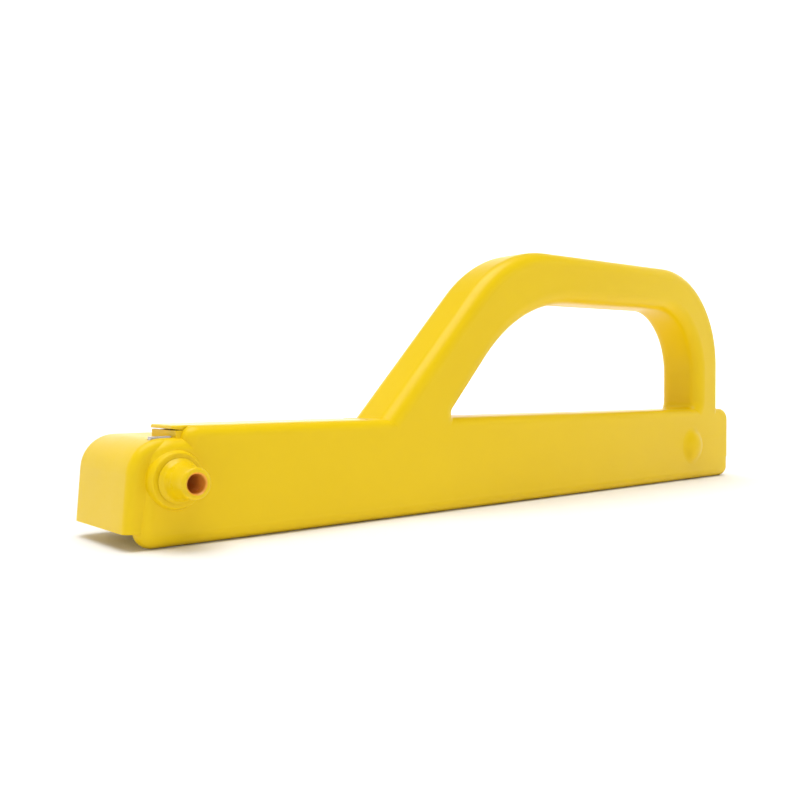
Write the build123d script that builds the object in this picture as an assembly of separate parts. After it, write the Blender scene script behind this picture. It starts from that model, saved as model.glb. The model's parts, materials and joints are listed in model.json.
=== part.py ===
from build123d import *
import math
import os

# Low lifting bar with a closed hand loop and a cam-raised steel toe plate.  Millimetres, +Z up.
# Working axes while drawing: x runs along the bar from the nose end, y runs from the handle-side
# face into the depth, z runs up from the floor.  Everything is shifted to the centre of the
# footprint when it is written.

# ---- driving dimensions: casing ----
body_length = 463.0
body_width = 58.0
plateau_height = 48.0
nose_height = 43.0
skirt_drop = 5.5
skirt_thickness = 7.0
ground = -1.6
nose_lean = 3.0
panel_foot = 0.8
panel_head = 7.0
panel_round = 12.0
body_start = 2.0
body_near_round = 4.0
handle_depth = 32.0
wall = 3.0
edge_round = 6.0
plateau_round = 5.0
loop_round = 8.0
nose_round = 15.0
rear_round = 8.0
seam_inset = 4.5
fence_top = 45.9

# ---- driving dimensions: hand loop ----
front_leg_foot = 131.2
front_leg_slope = 46.7
front_bend = 85.0
grip_top_front = 142.4
grip_top_rear = 146.0
rear_leg_outer = 449.3
rear_bend = 66.0
opening_foot = 175.8
opening_slope = 48.0
opening_top_front = 113.4
opening_top_rear = 117.6
opening_front_bend = 105.0
opening_rear = 420.2
opening_rear_bend = 43.0
opening_foot_round = 2.0
opening_heel_round = 6.0
loop_root = 28.0
grip_seam_z = 51.0

# ---- driving dimensions: lifting mechanism ----
shaft_x = 18.0
shaft_z = 26.0
shaft_radius = 6.0
bearing_clearance = 0.05
socket_reach = 17.5
socket_radius = 6.4
socket_root_radius = 7.65
socket_bore = 4.0
socket_bore_end = 0.3
spigot_radius = 3.5
boss_radius = 12.0
boss_height = 2.2
rim_start = 22.0
rim_width = 5.0
toe_start = 19.5
toe_end = 122.0
toe_far = 29.0
toe_thickness = 2.2
hinge_x = 116.0
hinge_z = 34.0
hinge_pin_radius = 3.0
follower_x = 27.0
follower_radius = 4.0
cam_gap = 0.35
cam_rest_radius = 10.0
cam_travel = 120.0
toe_travel = 4.2
cam_y = (13.0, 26.0)
near_cheek = (7.0, 9.5)
far_cheek = (31.0, 33.5)
cheek_top = 39.7
cheek_end = 150.0
tab_x = (10.0, 19.0)
tab_top = 43.65
base_top = skirt_drop
base_bottom = 1.5
floor_inside = skirt_drop + wall
web_top = floor_inside + 2.5
spine = dict(x0=152.0, x1=440.0, y0=12.0, y1=38.0, top=36.0, gauge=2.5)
anchor_x = 412.0
anchor_z = 22.5
dome_radius = 11.0
dome_height = 5.4
dome_blend = 5.0

base_screw_places = [(70.0, 20.0), (130.0, 20.0), (200.0, 25.0), (300.0, 25.0), (400.0, 25.0)]
cover_screw_places = [(x, z) for x in (44.0, 170.0, 300.0, 430.0) for z in (12.6, 36.0)]
grip_screw_places = [(160.0, 60.0), (208.0, 103.0), (272.0, 128.5), (360.0, 131.0), (434.8, 78.0)]


# ---- small helpers ----
def block(x0, x1, y0, y1, z0, z1):
    """A box given by its limits."""
    return Pos((x0 + x1) / 2, (y0 + y1) / 2, (z0 + z1) / 2) * Box(x1 - x0, y1 - y0, z1 - z0)


def rod(x, z, radius, y0, y1):
    """A cylinder along y."""
    return Pos(x, (y0 + y1) / 2, z) * Rot(90, 0, 0) * Cylinder(radius, y1 - y0)


def post(x, y, radius, z0, z1):
    """A cylinder along z."""
    return Pos(x, y, (z0 + z1) / 2) * Cylinder(radius, z1 - z0)


def tube_y(x, z, outer, inner, y0, y1):
    """A plain ring along y."""
    return rod(x, z, outer, y0, y1) - rod(x, z, inner, y0 - 1, y1 + 1)


def outline(corners):
    """A closed face from (x, z, radius) corners."""
    points = [(x, z) for x, z, r in corners]
    radii = [r for x, z, r in corners]
    return make_face(FilletPolyline(*points, radius=radii, close=True))


def prism(face, y0, y1):
    """Push an x-z face through the depth from y0 to y1."""
    return Pos(0, y0, 0) * extrude(Plane.XZ * face, amount=-(y1 - y0))


def hexagon_z(x, y, radius, z0, z1):
    """A hexagonal prism along z, radius to its corners."""
    return Pos(x, y, z0) * extrude(RegularPolygon(radius, 6), amount=z1 - z0, dir=(0, 0, 1))


def hexagon_y(x, z, radius, y0, y1):
    """A hexagonal prism along y, radius to its corners."""
    return Pos(x, y0, z) * extrude(Plane.XZ * RegularPolygon(radius, 6), amount=y1 - y0, dir=(0, 1, 0))


def group(solids):
    """Separate solids kept together as one node."""
    return Compound(solids)


def turned(x, z, profile):
    """A solid of revolution about the y axis through (x, z), from (radius, y) points."""
    face = make_face(Polyline(*profile, close=True))
    return Pos(x, 0, z) * revolve(face, Axis.Y)


def turned_soft(x, z, profile):
    """As turned, from (radius, y, rounding) points."""
    points = [(radius, y) for radius, y, rounding in profile]
    roundings = [rounding for radius, y, rounding in profile]
    face = make_face(FilletPolyline(*points, radius=roundings, close=True))
    return Pos(x, 0, z) * revolve(face, Axis.Y)


def leg_x(foot, slope, z):
    """Where a sloping leg line that leaves the plateau at foot crosses height z."""
    return foot + (z - plateau_height) / math.tan(math.radians(slope))


def depth_edges(solid, y):
    """Every edge that lies in the plane at depth y."""
    return [e for e in solid.edges() if all(abs(v.Y - y) < 1e-4 for v in e.vertices())]


# ---- casing shapes ----
def beam_outline():
    """Body of the bar behind the near panel; its nose end leans out at the foot."""
    return outline([
        (-nose_lean, skirt_drop, 0),
        (body_length, skirt_drop, 0),
        (body_length, nose_height, rear_round),
        (0, nose_height, nose_round),
    ])


def panel_outline():
    """Near panel, which hangs below the body as a skirt and stops short of the nose end."""
    return outline([
        (panel_foot, ground, 8.0),
        (body_length, ground, 7.0),
        (body_length, nose_height, rear_round),
        (panel_head, nose_height, panel_round),
    ])


def plateau_outline():
    return outline([
        (rim_start, 10, 1.0),
        (rim_start, plateau_height, 6.0),
        (body_length, plateau_height, rear_round),
        (body_length, 10, 1.0),
    ])


def loop_outline():
    return outline([
        (leg_x(front_leg_foot, front_leg_slope, loop_root), loop_root, 0),
        (leg_x(front_leg_foot, front_leg_slope, grip_top_front), grip_top_front, front_bend),
        (rear_leg_outer, grip_top_rear, rear_bend),
        (rear_leg_outer, loop_root, 0),
    ])


def opening_outline():
    return outline([
        (opening_foot, plateau_height, opening_foot_round),
        (leg_x(opening_foot, opening_slope, opening_top_front), opening_top_front, opening_front_bend),
        (opening_rear, opening_top_rear, opening_rear_bend),
        (opening_rear, plateau_height, opening_heel_round),
    ])


def rim(solid, y, above):
    """The rim edges of a prism at depth y that lie above a height."""
    return [e for e in depth_edges(solid, y) if e.center().Z > above]


def anchor_dome():
    """Spherical bump that covers the rear anchor."""
    ball = (dome_radius ** 2 + dome_height ** 2) / (2 * dome_height)
    cap = Pos(anchor_x, ball - dome_height, anchor_z) * Sphere(ball)
    return cap & block(anchor_x - 20, anchor_x + 20, -dome_height - 1, 0.5, 0, 45)


def casing_envelope():
    """The whole closed outer form of the moulding before it is split and hollowed."""
    body = prism(beam_outline(), body_start, body_width)
    body = fillet(rim(body, body_start, skirt_drop + 0.5), body_near_round)
    body = fillet(rim(body, body_width, skirt_drop + 0.5), edge_round)
    panel = prism(panel_outline(), 0, skirt_thickness)
    whole = body + fillet(depth_edges(panel, 0), edge_round)
    step = prism(plateau_outline(), 0, handle_depth)
    whole += fillet(depth_edges(step, 0) + depth_edges(step, handle_depth), plateau_round)
    ring = prism(loop_outline() - opening_outline(), 0, handle_depth)
    whole += fillet(rim(ring, 0, loop_root + 1) + rim(ring, handle_depth, loop_root + 1), loop_round)
    whole += anchor_dome()
    circles = [e for e in depth_edges(whole, 0) if e.geom_type == GeomType.CIRCLE]
    base = [e for e in circles if e.radius > dome_radius - 0.1 and abs(e.arc_center.X - anchor_x) < 0.1]
    return fillet(base, dome_blend)


def casing_voids():
    """The hollow inside the moulding, a wall's thickness in from the outer form."""
    beam = prism(offset(beam_outline(), -wall), wall, body_width - wall)
    beam -= block(-5, 9, 0, body_start + 4.2, 0, 60)
    depth = handle_depth - wall
    ring = prism(offset(loop_outline(), -wall) - offset(opening_outline(), wall), wall, depth)
    above = loop_root + wall + 1
    return beam + fillet(rim(ring, wall, above) + rim(ring, depth, above), loop_round - wall)


def front_casing(envelope, voids):
    """Deep tub: handle-side panel, perimeter walls, nose, plateau and the near part of the loop."""
    seam_y = body_width - seam_inset
    loop_seam_y = handle_depth - loop_round
    right = body_length + 5
    shell = envelope - block(-5, right, seam_y, body_width + 5, -5, 60)
    shell -= block(100, right, loop_seam_y, handle_depth + 5, grip_seam_z, 170)
    shell -= voids
    shell += turned_soft(shaft_x, shaft_z, [
        (8.2, 2.6, 0), (boss_radius + 0.8, 2.6, 0), (boss_radius + 0.2, 0.0, 1.0),
        (boss_radius - 0.6, -boss_height, 0.8), (8.2, -boss_height, 0),
    ])
    shell += rod(anchor_x, anchor_z, 8.0, wall - 0.5, spine["y0"])
    shell -= rod(anchor_x, anchor_z, 4.0, wall + 1.0, spine["y0"] + 1)
    shell -= rod(shaft_x, shaft_z, 8.2, -5, wall + 1)
    for x, z in cover_screw_places:
        shell += rod(x, z, 4.6, 41.0, seam_y) & block(x - 9, x + 9, 30, 60, 6.5, 42.0)
        shell -= rod(x, z, 1.75, 42.0, 60.0)
    for x, z in grip_screw_places:
        shell += rod(x, z, 4.2, wall - 0.5, loop_seam_y)
        shell -= rod(x, z, 1.75, 9.0, 60.0)
    shell -= block(rim_start - 1, toe_end + 2.2, rim_width, handle_depth + 1, nose_height, 60)
    fence_x = toe_start + 0.5
    shell += block(fence_x, fence_x + 1.5, rim_width - 0.2, 27, nose_height - 1, fence_top)
    shell += block(fence_x, fence_x + 4, rim_width - 0.4, rim_width + 0.25, nose_height - 1, fence_top)
    shell -= block(toe_start + 2, toe_end + 1.5, 10.5, toe_far - 0.4, nose_height - wall - 2, 60)
    shell -= block(8, toe_start + 3, cam_y[0] - 0.6, cam_y[1] + 0.6, nose_height - wall - 1, 41.3)
    shell -= block(tab_x[0] - 0.6, tab_x[1] + 0.6, near_cheek[0] - 0.6, near_cheek[1] + 0.6, 39, 60)
    for x, y in base_screw_places:
        shell -= post(x, y, 2.8, 0, floor_inside + 1)
    return shell


def back_cover(envelope, voids):
    """Lid over the far side of the bar."""
    lid = envelope & block(-5, body_length + 5, body_width - seam_inset, body_width + 5, skirt_drop - 1, 60)
    lid -= voids
    for x, z in cover_screw_places:
        pad = rod(x, z, 4.6, body_width - seam_inset, body_width - wall + 0.5)
        lid += pad & block(x - 9, x + 9, 30, 60, floor_inside, nose_height - wall)
        lid -= rod(x, z, 2.1, body_width - seam_inset - 1, body_width + 1)
        lid -= rod(x, z, 3.9, body_width - 1.6, body_width + 1)
    return lid


def grip_cover(envelope, voids):
    """Back shell of the hand loop."""
    near = handle_depth - loop_round
    shell = envelope & block(100, body_length + 5, near, handle_depth + 5, grip_seam_z, 170)
    shell -= voids
    for x, z in grip_screw_places:
        shell += rod(x, z, 4.2, near, handle_depth - wall + 0.5)
        shell -= rod(x, z, 2.1, 10, handle_depth + 1)
        shell -= rod(x, z, 3.9, handle_depth - 2.4, handle_depth + 1)
    return shell


# ---- frame ----
def base_plate():
    plate = block(24, body_length - 8, skirt_thickness + 1, body_width - 1.5, base_bottom, base_top)
    plate = fillet(plate.edges().filter_by(Axis.Z), 4)
    for x, y in base_screw_places:
        plate -= post(x, y, 2.8, 0, base_top + 1)
        plate -= Pos(x, y, base_bottom + 1.3) * Cone(5.4, 2.7, 2.7)
    return plate


def sole_pads():
    pads = []
    for x0, x1 in ((30, 60), (150, 190), (310, 350), (420, 450)):
        pad = block(x0, x1, skirt_thickness + 3, body_width - 4, ground, base_bottom)
        pads.append(fillet(pad.edges().filter_by(Axis.Z), 3))
    return group(pads)


def chassis():
    """Folded steel channel that carries the shaft and the toe hinge."""
    cheek = outline([
        (6, floor_inside, 2),
        (cheek_end, floor_inside, 2),
        (cheek_end, cheek_top, 18),
        (6, cheek_top, 12),
    ])
    frame = prism(cheek, *near_cheek) + prism(cheek, *far_cheek)
    frame += block(45, cheek_end, near_cheek[0], far_cheek[1], floor_inside, web_top)
    frame += block(tab_x[0], tab_x[1], near_cheek[0], near_cheek[1], cheek_top - 4, tab_top)
    frame -= rod(shaft_x, shaft_z, 8.0, 0, 40)
    frame -= rod(hinge_x, hinge_z, hinge_pin_radius, 0, 40)
    frame -= stop_pin()
    for x in (62, 92):
        frame -= rod(x, 24, 7.5, 0, 40)
    for x, y in base_screw_places[:2]:
        frame -= post(x, y, 2.7, 0, web_top + 1)
    return frame


def spine_channel():
    """Pressed channel that stiffens the bar from the chassis to the rear anchor."""
    s = spine
    rail = block(s["x0"], s["x1"], s["y0"], s["y1"], floor_inside, s["top"])
    inside = (s["y0"] + s["gauge"], s["y1"] - s["gauge"])
    rail -= block(s["x0"] - 1, s["x1"] + 1, *inside, web_top, s["top"] + 1)
    for x in (190, 250, 310, 370):
        slot = outline([(x - 18, 17, 5.5), (x + 18, 17, 5.5), (x + 18, 30, 5.5), (x - 18, 30, 5.5)])
        rail -= prism(slot, 0, 60)
    rail -= rod(anchor_x, anchor_z, 3.2, 0, 20)
    rail -= rod(anchor_x, anchor_z, 7.0, 30, 60)
    for x, y in base_screw_places[2:]:
        rail -= post(x, y, 2.7, 0, web_top + 1)
    return rail


def stop_pin():
    """Cross pin that the cam's steep flank rests on when the toe is down."""
    angle = math.radians(cam_tip_angle() + 7.7)
    x = shaft_x + 13.5 * math.sin(angle)
    z = shaft_z + 13.5 * math.cos(angle)
    return rod(x, z, 1.5, near_cheek[0] - 0.8, far_cheek[1] + 0.8)


def base_screws():
    screws = []
    for x, y in base_screw_places:
        head = Pos(x, y, base_bottom + 1.35) * Cone(5.2, 2.5, 2.5)
        screw = head + post(x, y, 2.5, base_bottom + 0.2, web_top + 6)
        screw -= hexagon_z(x, y, 1.7, base_bottom - 1, base_bottom + 2)
        screws.append(screw)
    return group(screws)


def base_nuts():
    nuts = []
    for x, y in base_screw_places:
        nut = hexagon_z(x, y, 4.6, web_top, web_top + 4.5)
        nuts.append(nut - post(x, y, 2.5, 0, 30))
    return group(nuts)


def cross_head_screw(x, z, y_head, y_tip, head_radius, head_height, shank):
    """Pan screw along y with its head at y_head facing the far side and a cross recess."""
    screw = rod(x, z, shank, y_tip, y_head)
    screw += rod(x, z, head_radius, y_head - head_height, y_head)
    screw = fillet(screw.edges().filter_by(GeomType.CIRCLE).sort_by(Axis.Y)[-1], 0.5)
    screw -= block(x - 2.0, x + 2.0, y_head - 1.0, y_head + 1, z - 0.4, z + 0.4)
    screw -= block(x - 0.4, x + 0.4, y_head - 1.0, y_head + 1, z - 2.0, z + 2.0)
    return screw


def cover_screws():
    head = body_width - 0.3
    return group([cross_head_screw(x, z, head, 43.0, 3.6, 1.3, 1.75) for x, z in cover_screw_places])


def grip_screws():
    head = handle_depth - 0.6
    return group([cross_head_screw(x, z, head, 11.0, 3.6, 1.8, 1.75) for x, z in grip_screw_places])


def anchor_insert():
    return tube_y(anchor_x, anchor_z, 4.0, 3.0, wall + 1.0, spine["y0"] - 0.2)


def rear_anchor_bolt():
    """Bolt that ties the spine to the post behind the dome."""
    inside = spine["y0"] + spine["gauge"]
    head = hexagon_y(anchor_x, anchor_z, 5.8, inside + 1.2, inside + 5.2)
    washer = rod(anchor_x, anchor_z, 6.2, inside, inside + 1.2)
    return rod(anchor_x, anchor_z, 3.0, wall + 1.5, inside + 2) + washer + head


# ---- drive shaft group ----
def cheek_bush(cheek, flange_out):
    """Flanged bronze bush pressed in a cheek, its flange facing the cam."""
    y0, y1 = cheek
    bush = rod(shaft_x, shaft_z, 8.0, y0, y1)
    bush += rod(shaft_x, shaft_z, 10.0, min(flange_out), max(flange_out))
    return bush - rod(shaft_x, shaft_z, shaft_radius + bearing_clearance, 0, 60)


def near_bush():
    return cheek_bush(near_cheek, (near_cheek[1], near_cheek[1] + 1.5))


def far_bush():
    return cheek_bush(far_cheek, (far_cheek[0] - 1.5, far_cheek[0]))


def cam_shaft():
    shaft = rod(shaft_x, shaft_z, shaft_radius, 6.8, 36.0)
    shaft += rod(shaft_x, shaft_z, spigot_radius, 0.6, 7.0)
    shaft += rod(shaft_x, shaft_z, 5.0, 36.0, 47.0)
    shaft -= hexagon_y(shaft_x, shaft_z, 2.6, 0, 3.0)
    shaft -= sleeve_pin()
    shaft -= cam_key()
    return shaft


def socket_sleeve():
    """Hollow drive socket that stands out of the ring boss; its collar hides the running gap."""
    tip = -socket_reach
    lip = boss_height + 0.3
    body = turned_soft(shaft_x, shaft_z, [
        (socket_bore, tip + 0.8, 0), (socket_bore + 0.8, tip, 0.4), (socket_radius, tip, 1.3),
        (socket_radius + 0.5, -8.5, 6.0), (socket_root_radius, -4.3, 2.0), (9.2, -lip - 0.25, 0),
        (9.2, -lip, 0), (socket_root_radius, -lip, 0), (socket_root_radius, 5.8, 0),
        (spigot_radius, 5.8, 0), (spigot_radius, socket_bore_end, 0), (socket_bore, socket_bore_end, 0),
    ])
    return body - sleeve_pin()


def sleeve_pin():
    return post(shaft_x, 4.2, 1.25, shaft_z - 7.2, shaft_z + 7.2)


def follower_centre(lift):
    """Centre of the follower's round nose with the toe plate lifted by an angle in degrees."""
    rest_dx = follower_x - shaft_x
    reach = cam_rest_radius + follower_radius + cam_gap
    rest_z = shaft_z + math.sqrt(reach ** 2 - rest_dx ** 2)
    a = math.radians(lift)
    dx = follower_x - hinge_x
    dz = rest_z - hinge_z
    return hinge_x + dx * math.cos(a) + dz * math.sin(a), hinge_z - dx * math.sin(a) + dz * math.cos(a)


def cam_point(turn):
    """Cam profile point, in the rest position, that meets the follower when the cam has turned."""
    x, z = follower_centre(toe_travel * turn / cam_travel)
    reach = math.hypot(x - shaft_x, z - shaft_z) - follower_radius - cam_gap
    angle = math.atan2(x - shaft_x, z - shaft_z) + math.radians(turn)
    return shaft_x + reach * math.sin(angle), shaft_z + reach * math.cos(angle)


def cam_tip_angle():
    """Angle of the cam's tip from straight up, in degrees, in the rest position."""
    x, z = cam_point(cam_travel + 4)
    return math.degrees(math.atan2(x - shaft_x, z - shaft_z))


def cam():
    """Snail cam: the toe plate's angle grows in proportion to the turn."""
    steps = 16
    turns = [-8 + (cam_travel + 12) * i / steps for i in range(steps + 1)]
    rise = Spline(*[cam_point(t) for t in turns])
    tip = rise @ 1
    low = rise @ 0
    heel_radius = cam_rest_radius - 0.6
    a = math.radians(cam_tip_angle())
    heel = Vector(shaft_x + heel_radius * math.sin(a), shaft_z + heel_radius * math.cos(a))
    b = a / 2 + 0.2
    back = Vector(shaft_x - heel_radius * math.sin(b), shaft_z - heel_radius * math.cos(b))
    face = make_face([rise, Line(tip, heel), ThreePointArc(heel, back, low)])
    disc = prism(face, cam_y[0], cam_y[1])
    disc += rod(shaft_x, shaft_z, 9.0, cam_y[0], cam_y[1])
    disc -= rod(shaft_x, shaft_z, shaft_radius, 0, 60)
    return disc - cam_key()


def cam_key():
    return block(shaft_x - 8.2, shaft_x - 3.8, cam_y[0] + 0.5, cam_y[1] - 0.5, shaft_z - 1.5, shaft_z + 1.5)


def thrust_washers():
    inner = shaft_radius + 0.1
    near = tube_y(shaft_x, shaft_z, 9.2, inner, near_cheek[1] + 1.6, cam_y[0] - 0.1)
    far = tube_y(shaft_x, shaft_z, 9.2, inner, cam_y[1] + 0.1, far_cheek[0] - 1.6)
    return group([near, far])


def brake_lining():
    """Friction ring bonded to the far cheek; it holds the cam wherever it is left."""
    return tube_y(shaft_x, shaft_z, 11.5, 8.5, far_cheek[1], far_cheek[1] + 1.6)


def pressure_washer():
    y0 = far_cheek[1] + 1.7
    washer = rod(shaft_x, shaft_z, 11.5, y0, y0 + 2.0)
    washer -= rod(shaft_x, shaft_z, shaft_radius, 0, 36.0)
    return washer - rod(shaft_x, shaft_z, 5.0, 30.0, 60.0)


def disc_springs():
    """Two coned spring washers, back to back."""
    y = far_cheek[1] + 3.7
    outer, inner, gauge, rise = 10.0, 5.2, 0.8, 0.7
    first = [(inner, y + rise), (outer, y), (outer, y + gauge), (inner, y + rise + gauge)]
    y += rise + gauge
    second = [(inner, y), (outer, y + rise), (outer, y + rise + gauge), (inner, y + gauge)]
    return group([turned(shaft_x, shaft_z, first), turned(shaft_x, shaft_z, second)])


def lock_nut():
    y = far_cheek[1] + 3.7 + 2 * 0.7 + 2 * 0.8
    body = hexagon_y(shaft_x, shaft_z, 9.2, y, y + 5.5)
    body += rod(shaft_x, shaft_z, 7.0, y + 5.0, y + 6.8)
    return body - rod(shaft_x, shaft_z, 5.0, 30, 60)


# ---- toe plate group ----
def toe_plate():
    """Thin lifting plate with a bevelled tip, a folded far edge and two hinge ears."""
    top = plateau_height
    under = top - toe_thickness
    near_y = rim_width + 0.6
    plate = block(toe_start, toe_end, near_y, toe_far, under, top)
    plate = fillet(plate.edges().filter_by(Axis.Z).group_by(Axis.X)[0], 2.5)
    plate = fillet(plate.faces().sort_by(Axis.Z)[-1].edges(), 0.9)
    bevel = Polyline((toe_start, under), (toe_start + 6, under), (toe_start, under + 0.7), close=True)
    plate -= prism(make_face(bevel), 0, toe_far + 5)
    far_y = toe_far - toe_thickness
    plate += block(toe_start + 9, hinge_x - 4, far_y, toe_far, nose_height + 0.45, top - 1.0)
    for y0 in (11.5, 25.5):
        plate += block(hinge_x - 6, hinge_x + 6, y0, y0 + 2.5, hinge_z, under + 0.5)
        plate += rod(hinge_x, hinge_z, 6.0, y0, y0 + 2.5)
    plate -= rod(hinge_x, hinge_z, hinge_pin_radius + bearing_clearance, 0, 60)
    return plate - follower_rivets()


def follower_block():
    """Hard block under the toe plate; its round nose rides on the cam."""
    x, z = follower_centre(0)
    under = plateau_height - toe_thickness
    nose = rod(x, z, follower_radius, cam_y[0] + 0.5, cam_y[1] - 0.5)
    nose += block(x - 4, x + 4, cam_y[0] + 0.5, cam_y[1] - 0.5, z, under)
    nose += block(x - 4, x + 16, cam_y[0] + 0.5, cam_y[1] - 0.5, under - 2.0, under)
    return nose - follower_rivets()


def follower_rivets():
    x, z = follower_centre(0)
    top = plateau_height
    rivets = []
    for px, py in ((x + 11, 16.5), (x + 11, 22.5)):
        shank = post(px, py, 1.5, top - toe_thickness - 3.0, top - 0.05)
        head = Pos(px, py, top - 0.65) * Cone(1.5, 2.7, 1.2)
        tail = post(px, py, 2.4, top - toe_thickness - 3.2, top - toe_thickness - 2.0)
        rivets.append(shank + head + tail)
    return group(rivets)


def toe_hinge_pin():
    pin = rod(hinge_x, hinge_z, hinge_pin_radius, 5.0, 35.6)
    for y0 in (near_cheek[0] - 1.2, far_cheek[1] + 0.3):
        pin -= tube_y(hinge_x, hinge_z, 4.0, 2.4, y0, y0 + 0.9)
    return pin


def hinge_pin_clips():
    clips = []
    for y0 in (near_cheek[0] - 1.15, far_cheek[1] + 0.35):
        clip = tube_y(hinge_x, hinge_z, 5.2, 2.4, y0, y0 + 0.8)
        clip -= block(hinge_x - 2.0, hinge_x + 2.0, y0 - 1, y0 + 2, hinge_z - 8, hinge_z)
        clips.append(clip)
    return group(clips)


def return_spring():
    """Torsion spring on the hinge pin that draws the toe plate down."""
    wire, coil, pitch, turns = 0.75, 4.6, 1.9, 4
    upper_leg = plateau_height - toe_thickness - 0.9 - hinge_z
    lower_leg = hinge_z - web_top - 0.5
    helix = Helix(pitch, pitch * turns, coil)
    first = Line(helix @ 0 - (helix % 0) * upper_leg, helix @ 0)
    last = Line(helix @ 1, helix @ 1 + (helix % 1) * lower_leg)
    path = Wire([first, helix, last])
    spring = sweep(Plane(path @ 0, z_dir=path % 0) * Circle(wire), path=path)
    return Pos(hinge_x, 15.8, hinge_z) * Rot(-90, 0, 0) * spring


parts = {}
envelope = casing_envelope()
voids = casing_voids()
parts["front_casing"] = front_casing(envelope, voids)
parts["back_cover"] = back_cover(envelope, voids)
parts["grip_cover"] = grip_cover(envelope, voids)
for maker in (
    base_plate, sole_pads, chassis, spine_channel, stop_pin, base_screws, base_nuts, cover_screws,
    grip_screws, anchor_insert, rear_anchor_bolt, near_bush, far_bush, cam_shaft, socket_sleeve,
    sleeve_pin, cam, cam_key, thrust_washers, brake_lining, pressure_washer, disc_springs, lock_nut,
    toe_plate, follower_block, follower_rivets, toe_hinge_pin, hinge_pin_clips, return_spring,
):
    parts[maker.__name__] = maker()

os.makedirs("parts", exist_ok=True)
centre_x = (body_length - nose_lean) / 2
centre_y = (body_width - socket_reach) / 2
for name, shape in parts.items():
    placed = Pos(-centre_x, -centre_y, -ground) * shape
    export_step(placed, f"parts/{name}.step")
    print(name, round(placed.volume, 1))
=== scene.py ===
import json
import math

import bpy
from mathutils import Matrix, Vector

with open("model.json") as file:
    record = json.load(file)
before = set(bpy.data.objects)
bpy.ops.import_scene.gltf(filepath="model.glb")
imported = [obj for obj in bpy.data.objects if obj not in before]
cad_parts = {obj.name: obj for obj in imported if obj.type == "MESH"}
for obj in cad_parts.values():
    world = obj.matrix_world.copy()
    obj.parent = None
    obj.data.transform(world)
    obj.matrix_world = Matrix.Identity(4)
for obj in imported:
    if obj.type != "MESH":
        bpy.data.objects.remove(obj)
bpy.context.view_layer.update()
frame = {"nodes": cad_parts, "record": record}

# ---- look: colours (linear) ----
YELLOW = (0.865, 0.595, 0.0030)
YELLOW_DEEP = (0.83, 0.560, 0.0022)
YELLOW_WORN = (0.90, 0.67, 0.035)
ZINC = (0.60, 0.58, 0.57)
GROUND_STEEL = (0.36, 0.35, 0.38)
BLACK_COAT = (0.018, 0.018, 0.020)
BLACK_OXIDE = (0.030, 0.030, 0.034)
BRONZE = (0.42, 0.24, 0.085)
LINING = (0.11, 0.065, 0.04)
RUBBER = (0.016, 0.016, 0.017)
# painted light: bright orange painted into the socket's bore for the glow of light bounced
# inside it
BORE_GLOW_ORANGE = (0.95, 0.42, 0.060)

# ---- the drive shaft's axis in the shared frame (metres), for the painted glow of bounced light inside the socket's bore ----
SHAFT_X = -0.212
SHAFT_Z = 0.0276
BORE_REACH = 0.0044
BORE_FADE = 1.06

# ---- edge wear: how far each finish is rubbed back from an edge (metres) ----
MOULDING_WEAR = 0.0012
PAINT_WEAR = 0.0006
STEEL_WEAR = 0.0005
SCREW_WEAR = 0.0004
BEVEL_SAMPLES = 6

# ---- stage: a floor that curves up into a wall (metres) ----
FLOOR_RADIUS = 3.0
FLOOR_BEND = 1.2
WALL_TOP = 2.8
BEND_STEPS = 12
STAGE_SIDES = 96
STAGE_WHITES = ((0.93, 0.93, 0.93), (0.95, 0.95, 0.95))

# ---- lights: directions as vectors, places in metres, power in watts ----
WORLD_STRENGTH = 0.22
OVERHEAD_DIRECTION = (0.1, 0.0, -0.99)
OVERHEAD_STRENGTH = 2.55
OVERHEAD_SPREAD = 50.0
WASH_PLACE = (0.9, 1.2, 2.2)
WASH_TARGET = (3.2, 3.6, 1.6)
WASH_SIZE = (2.0, 2.0)
WASH_POWER = 90.0

# ---- camera (metres, degrees, millimetres) ----
CAMERA_PLACE = (-0.37343, -0.34311, 0.06551)
CAMERA_DIP = 0.872
CAMERA_HEADING = -41.085
CAMERA_LENS = 38.85
CAMERA_NEAR = 0.01


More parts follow.
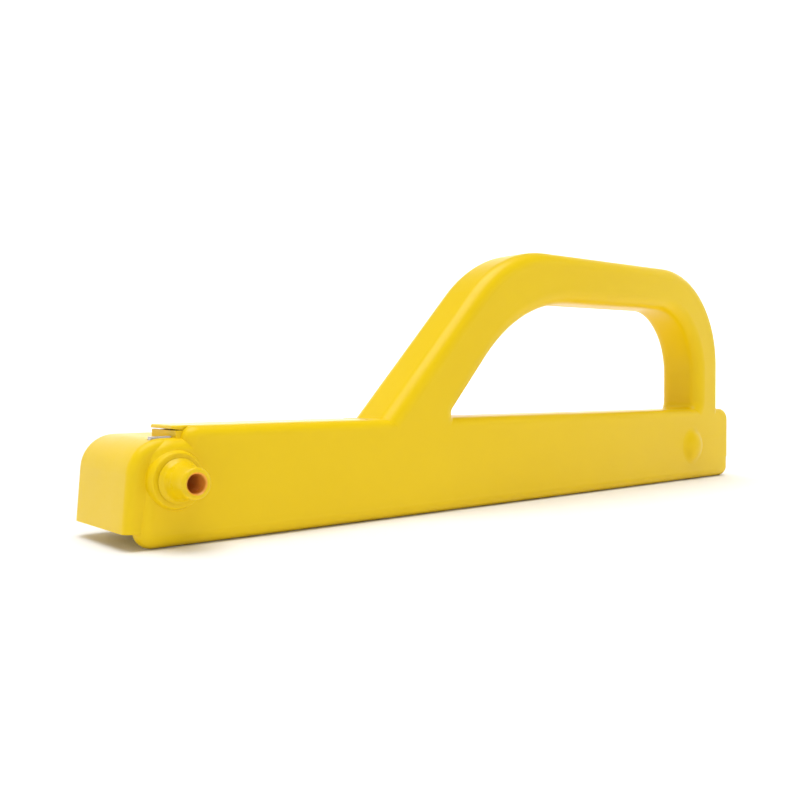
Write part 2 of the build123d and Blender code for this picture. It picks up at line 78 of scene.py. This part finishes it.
# ---- material helpers ----
class Shader:
    """A Principled material under construction, in object space (metres)."""

    def __init__(self, name, **values):
        self.material = bpy.data.materials.new(name)
        self.material.use_nodes = True
        self.tree = self.material.node_tree
        self.main = self.tree.nodes["Principled BSDF"]
        for socket, value in values.items():
            self.main.inputs[socket.replace("_", " ")].default_value = value
        self.place = self.node("ShaderNodeTexCoord").outputs["Object"]

    def node(self, kind, **settings):
        made = self.tree.nodes.new(kind)
        for key, value in settings.items():
            setattr(made, key, value)
        return made

    def join(self, source, target):
        self.tree.links.new(source, target)

    def stretched(self, scale):
        mapping = self.node("ShaderNodeMapping")
        mapping.inputs["Scale"].default_value = scale
        self.join(self.place, mapping.inputs["Vector"])
        return mapping.outputs["Vector"]

    def noise(self, scale, detail=3.0, rough=0.5, stretch=None):
        """Fractal noise, stretched along the axes whose factor is below 1."""
        made = self.node("ShaderNodeTexNoise")
        made.inputs["Scale"].default_value = scale
        made.inputs["Detail"].default_value = detail
        made.inputs["Roughness"].default_value = rough
        self.join(self.stretched(stretch) if stretch else self.place, made.inputs["Vector"])
        return made.outputs["Fac"]

    def ramp(self, source, stops):
        """Colours at the given positions along the source value."""
        made = self.node("ShaderNodeValToRGB")
        elements = made.color_ramp.elements
        for index, (position, value) in enumerate(stops):
            element = elements[index] if index < 2 else elements.new(position)
            element.position = position
            element.color = (*value, 1.0)
        self.join(source, made.inputs["Fac"])
        return made.outputs["Color"]

    def span(self, source, low, high, start=0.3, end=0.7):
        """Map the source's start-to-end range onto low-to-high."""
        made = self.node("ShaderNodeMapRange")
        made.inputs["From Min"].default_value = start
        made.inputs["From Max"].default_value = end
        made.inputs["To Min"].default_value = low
        made.inputs["To Max"].default_value = high
        self.join(source, made.inputs["Value"])
        return made.outputs["Result"]

    def mix(self, factor, first, second):
        """First where the factor is 0 and second where it is 1; each a colour or a socket."""
        made = self.node("ShaderNodeMix", data_type="RGBA")
        for slot, value in ((6, first), (7, second)):
            if isinstance(value, tuple):
                made.inputs[slot].default_value = (*value, 1.0)
            else:
                self.join(value, made.inputs[slot])
        self.join(factor, made.inputs[0])
        return made.outputs[2]

    def maths(self, operation, first, second):
        """One arithmetic step; each input is a number or a socket."""
        made = self.node("ShaderNodeMath", operation=operation)
        for slot, value in ((0, first), (1, second)):
            if isinstance(value, (int, float)):
                made.inputs[slot].default_value = value
            else:
                self.join(value, made.inputs[slot])
        return made.outputs[0]

    def edges(self, radius, low=0.02, high=0.25):
        """1 along convex and concave edges, 0 on flats."""
        bevel = self.node("ShaderNodeBevel", samples=BEVEL_SAMPLES)
        bevel.inputs["Radius"].default_value = radius
        plain = self.node("ShaderNodeNewGeometry").outputs["Normal"]
        dot = self.node("ShaderNodeVectorMath", operation="DOT_PRODUCT")
        self.join(bevel.outputs["Normal"], dot.inputs[0])
        self.join(plain, dot.inputs[1])
        bent = self.maths("SUBTRACT", 1.0, dot.outputs["Value"])
        return self.span(bent, 0.0, 1.0, low, high)

    def near_axis(self, x, z, reach):
        """1 within reach of a line along y through (x, z), fading to 0 just outside."""
        parts = self.node("ShaderNodeSeparateXYZ")
        self.join(self.place, parts.inputs[0])
        across = self.maths("SUBTRACT", parts.outputs["X"], x)
        upward = self.maths("SUBTRACT", parts.outputs["Z"], z)
        squares = [self.maths("MULTIPLY", side, side) for side in (across, upward)]
        away = self.maths("SQRT", self.maths("ADD", *squares), 0.0)
        return self.span(away, 1.0, 0.0, reach, reach * BORE_FADE)

    def bump(self, *layers):
        """Stack (height, strength, distance in metres) bump layers."""
        normal = None
        for height, strength, distance in layers:
            made = self.node("ShaderNodeBump")
            made.inputs["Strength"].default_value = strength
            made.inputs["Distance"].default_value = distance
            self.join(height, made.inputs["Height"])
            if normal:
                self.join(normal, made.inputs["Normal"])
            normal = made.outputs["Normal"]
        self.join(normal, self.main.inputs["Normal"])

    def colour(self, source):
        self.join(source, self.main.inputs["Base Color"])

    def roughness(self, source):
        self.join(source, self.main.inputs["Roughness"])


def moulded_plastic():
    """Satin yellow moulding: fine spark texture, soft flow marks, rubbed edges, light scuffs."""
    s = Shader("yellow_moulding", IOR=1.5, Specular_IOR_Level=0.22)
    broad = s.noise(9.0, 2.0)
    spark = s.noise(2600.0, 2.0)
    flow = s.noise(60.0, 3.0, 0.55, stretch=(0.35, 1.0, 1.0))
    scuffs = s.noise(420.0, 4.0, 0.65, stretch=(0.12, 1.0, 1.0))
    patchy = s.span(s.noise(120.0, 5.0, 0.6), 0.0, 0.5, 0.45, 0.65)
    worn = s.maths("MULTIPLY", s.edges(MOULDING_WEAR), patchy)
    tint = s.mix(s.span(broad, 0.0, 1.0), YELLOW, YELLOW_DEEP)
    s.colour(s.mix(worn, tint, YELLOW_WORN))
    marks = s.span(scuffs, 0.0, 0.10, 0.60, 0.72)
    s.roughness(s.maths("ADD", s.span(flow, 0.30, 0.38), marks))
    s.bump((spark, 0.10, 0.0002), (flow, 0.05, 0.0006))
    return s.material


def painted_steel():
    """Yellow paint on steel: orange peel, small chips at edges, and painted light in the bore:
    bright orange standing for the glow of light bounced inside it.
    """
    gloss = {"Specular_IOR_Level": 0.25, "Coat_Weight": 0.08, "Coat_Roughness": 0.12}
    s = Shader("yellow_paint", IOR=1.5, **gloss)
    peel = s.noise(900.0, 2.0)
    spots = s.span(s.noise(700.0, 5.0, 0.7), 0.0, 1.0, 0.60, 0.64)
    chips = s.maths("MULTIPLY", s.edges(PAINT_WEAR), spots)
    tint = s.mix(s.span(s.noise(22.0, 3.0), 0.0, 1.0), YELLOW, YELLOW_DEEP)
    # painted light: the bore is coloured bright orange to stand for the glow of bounced light
    tint_with_bore_glow = s.mix(s.near_axis(SHAFT_X, SHAFT_Z, BORE_REACH), tint, BORE_GLOW_ORANGE)
    s.colour(s.mix(chips, tint_with_bore_glow, GROUND_STEEL))
    s.roughness(s.span(s.noise(130.0, 4.0), 0.26, 0.36))
    s.bump((peel, 0.12, 0.0003), (chips, -0.25, 0.0001))
    return s.material


def zinc_plate():
    """Zinc plated sheet: mottled spangle, faint rolling lines."""
    s = Shader("zinc_plate", Metallic=1.0)
    spangle = s.noise(260.0, 3.0, 0.6)
    lines = s.noise(900.0, 3.0, 0.6, stretch=(0.04, 1.0, 1.0))
    s.colour(s.ramp(spangle, [(0.30, (0.50, 0.48, 0.49)), (0.70, ZINC)]))
    s.roughness(s.span(spangle, 0.28, 0.45))
    s.bump((lines, 0.12, 0.0002), (spangle, 0.05, 0.0002))
    return s.material


def ground_steel():
    """Hardened, ground steel: fine turning marks, darker oil-tinted patches, bright edges."""
    s = Shader("ground_steel", Metallic=1.0)
    patches = s.noise(180.0, 4.0, 0.6)
    marks = s.noise(2400.0, 2.0, 0.5, stretch=(1.0, 0.05, 1.0))
    edge = s.edges(STEEL_WEAR)
    base = s.ramp(patches, [(0.30, (0.26, 0.25, 0.29)), (0.65, GROUND_STEEL)])
    s.colour(s.mix(edge, base, (0.62, 0.61, 0.62)))
    s.roughness(s.span(marks, 0.22, 0.40))
    s.bump((marks, 0.15, 0.0001))
    return s.material


def black_coat():
    """Black powder coat on the sole plate: leathery pebble, scratches down to grey."""
    s = Shader("black_powder_coat", IOR=1.5)
    pebble = s.noise(1500.0, 3.0, 0.55)
    scratch = s.span(s.noise(240.0, 5.0, 0.7, stretch=(0.08, 1.0, 1.0)), 0.0, 1.0, 0.66, 0.72)
    s.colour(s.mix(scratch, BLACK_COAT, (0.12, 0.12, 0.125)))
    s.roughness(s.span(pebble, 0.45, 0.62))
    s.bump((pebble, 0.35, 0.0002), (scratch, -0.3, 0.0001))
    return s.material


def black_oxide():
    """Blackened screws: dark satin metal with bright rubbed rims."""
    s = Shader("black_oxide", Metallic=0.85)
    edge = s.maths("MULTIPLY", s.edges(SCREW_WEAR), s.span(s.noise(900.0, 3.0), 0.2, 1.0))
    s.colour(s.mix(edge, BLACK_OXIDE, (0.30, 0.30, 0.31)))
    s.roughness(s.span(s.noise(700.0, 3.0), 0.32, 0.50))
    s.bump((s.noise(2200.0, 2.0), 0.10, 0.0001))
    return s.material


def sintered_bronze():
    """Porous sintered bronze: speckled pores and oil-darkened patches."""
    s = Shader("sintered_bronze", Metallic=1.0)
    pores = s.span(s.noise(2600.0, 2.0), 0.0, 1.0, 0.34, 0.42)
    patches = s.ramp(s.noise(140.0), [(0.3, BRONZE), (0.7, (0.55, 0.34, 0.14))])
    s.colour(s.mix(pores, (0.12, 0.07, 0.03), patches))
    s.roughness(s.span(s.noise(500.0), 0.35, 0.5))
    s.bump((pores, 0.3, 0.0001))
    return s.material


def friction_lining():
    """Woven-looking friction ring with brassy flecks."""
    s = Shader("friction_lining", IOR=1.45)
    flecks = s.span(s.noise(1700.0, 3.0), 0.0, 1.0, 0.62, 0.66)
    weave = s.ramp(s.noise(300.0), [(0.3, LINING), (0.7, (0.16, 0.10, 0.06))])
    s.colour(s.mix(flecks, weave, (0.45, 0.30, 0.12)))
    s.roughness(s.span(s.noise(800.0), 0.70, 0.88))
    s.bump((s.noise(1300.0, 4.0), 0.4, 0.0002))
    return s.material


def sole_rubber():
    """Black rubber pads: moulded cross ribs, dust in the grooves."""
    s = Shader("sole_rubber", IOR=1.5)
    ribs = s.node("ShaderNodeTexWave", wave_type="BANDS", bands_direction="X")
    ribs.inputs["Scale"].default_value = 110.0
    s.join(s.place, ribs.inputs["Vector"])
    grooves = s.span(ribs.outputs["Fac"], 0.5, 0.0, 0.0, 0.4)
    dust = s.maths("MULTIPLY", grooves, s.span(s.noise(90.0, 4.0), 0.0, 1.0))
    s.colour(s.mix(dust, RUBBER, (0.09, 0.085, 0.08)))
    s.roughness(s.span(s.noise(600.0), 0.66, 0.82))
    s.bump((ribs.outputs["Fac"], 0.6, 0.0006), (s.noise(2500.0), 0.2, 0.0001))
    return s.material


finishes = {
    "casing_plastic": moulded_plastic(),
    "painted_steel": painted_steel(),
    "plated_steel": zinc_plate(),
    "hard_steel": ground_steel(),
    "dark_steel": black_coat(),
    "black_fasteners": black_oxide(),
    "bronze": sintered_bronze(),
    "lining": friction_lining(),
    "sole_rubber": sole_rubber(),
}


def dress_cad_nodes():
    """Give every carried-over node the finish of its material slot."""
    for entry in frame["record"]["subparts"]:
        node = frame["nodes"][entry["node"]]
        finish = finishes[entry["material_slot"]]
        for slot in node.material_slots:
            slot.material = finish


dress_cad_nodes()


# ---- studio ----
def stage_profile():
    """(radius, height) points from the rim of the flat floor to the top of the wall."""
    profile = [(FLOOR_RADIUS, 0.0)]
    for step in range(1, BEND_STEPS + 1):
        angle = math.radians(90.0 * step / BEND_STEPS)
        radius = FLOOR_RADIUS + FLOOR_BEND * math.sin(angle)
        profile.append((radius, FLOOR_BEND * (1.0 - math.cos(angle))))
    profile.append((FLOOR_RADIUS + FLOOR_BEND, WALL_TOP))
    return profile


def stage_mesh():
    """The profile turned about the vertical axis, with one flat face for the floor."""
    profile = stage_profile()
    turns = [2.0 * math.pi * side / STAGE_SIDES for side in range(STAGE_SIDES)]
    vertices = [(r * math.cos(a), r * math.sin(a), z) for r, z in profile for a in turns]
    faces = [tuple(range(STAGE_SIDES))]
    for ring in range(len(profile) - 1):
        low = ring * STAGE_SIDES
        high = low + STAGE_SIDES
        for side in range(STAGE_SIDES):
            after = (side + 1) % STAGE_SIDES
            faces.append((low + side, high + side, high + after, low + after))
    mesh = bpy.data.meshes.new("studio_bowl")
    mesh.from_pydata(vertices, [], faces)
    for face in mesh.polygons:
        face.use_smooth = True
    return mesh


def stage_bowl():
    """A white floor that curves up into a wall all round, well away from the part."""
    mesh = stage_mesh()
    bowl = bpy.data.objects.new("studio_bowl", mesh)
    bpy.context.scene.collection.objects.link(bowl)
    s = Shader("studio_white", Roughness=0.9, Specular_IOR_Level=0.1)
    s.colour(s.mix(s.span(s.noise(3.0), 0.0, 1.0), *STAGE_WHITES))
    mesh.materials.append(s.material)


def area_light(name, place, target, size, power):
    """A rectangular lamp at place, facing target."""
    light = bpy.data.lights.new(name, "AREA")
    light.shape = "RECTANGLE"
    light.size, light.size_y = size
    light.energy = power
    holder = bpy.data.objects.new(name, light)
    holder.location = place
    holder.rotation_euler = (Vector(target) - Vector(place)).to_track_quat("-Z", "Y").to_euler()
    bpy.context.scene.collection.objects.link(holder)


def overhead_light(name, direction, strength, spread):
    """A very soft sun that shines along the given direction; spread in degrees."""
    light = bpy.data.lights.new(name, "SUN")
    light.energy = strength
    light.angle = math.radians(spread)
    holder = bpy.data.objects.new(name, light)
    holder.rotation_euler = Vector(direction).to_track_quat("-Z", "Y").to_euler()
    bpy.context.scene.collection.objects.link(holder)


def world_light():
    """An even white surround."""
    world = bpy.data.worlds.new("studio_world")
    world.use_nodes = True
    background = world.node_tree.nodes["Background"]
    background.inputs["Color"].default_value = (1.0, 1.0, 1.0, 1.0)
    background.inputs["Strength"].default_value = WORLD_STRENGTH
    bpy.context.scene.world = world


def studio():
    """White stage, soft light from above, and a lamp that washes the wall behind the part."""
    stage_bowl()
    world_light()
    overhead_light("overhead", OVERHEAD_DIRECTION, OVERHEAD_STRENGTH, OVERHEAD_SPREAD)
    area_light("backdrop_wash", WASH_PLACE, WASH_TARGET, WASH_SIZE, WASH_POWER)
    bpy.context.scene.view_settings.view_transform = "Standard"


def camera():
    """Three-quarter view from the nose end, just above the bar's top face."""
    lens = bpy.data.cameras.new("camera")
    lens.lens = CAMERA_LENS
    lens.clip_start = CAMERA_NEAR
    holder = bpy.data.objects.new("camera", lens)
    holder.location = CAMERA_PLACE
    holder.rotation_euler = (math.radians(90 - CAMERA_DIP), 0.0, math.radians(CAMERA_HEADING))
    bpy.context.scene.collection.objects.link(holder)
    bpy.context.scene.camera = holder


studio()
camera()
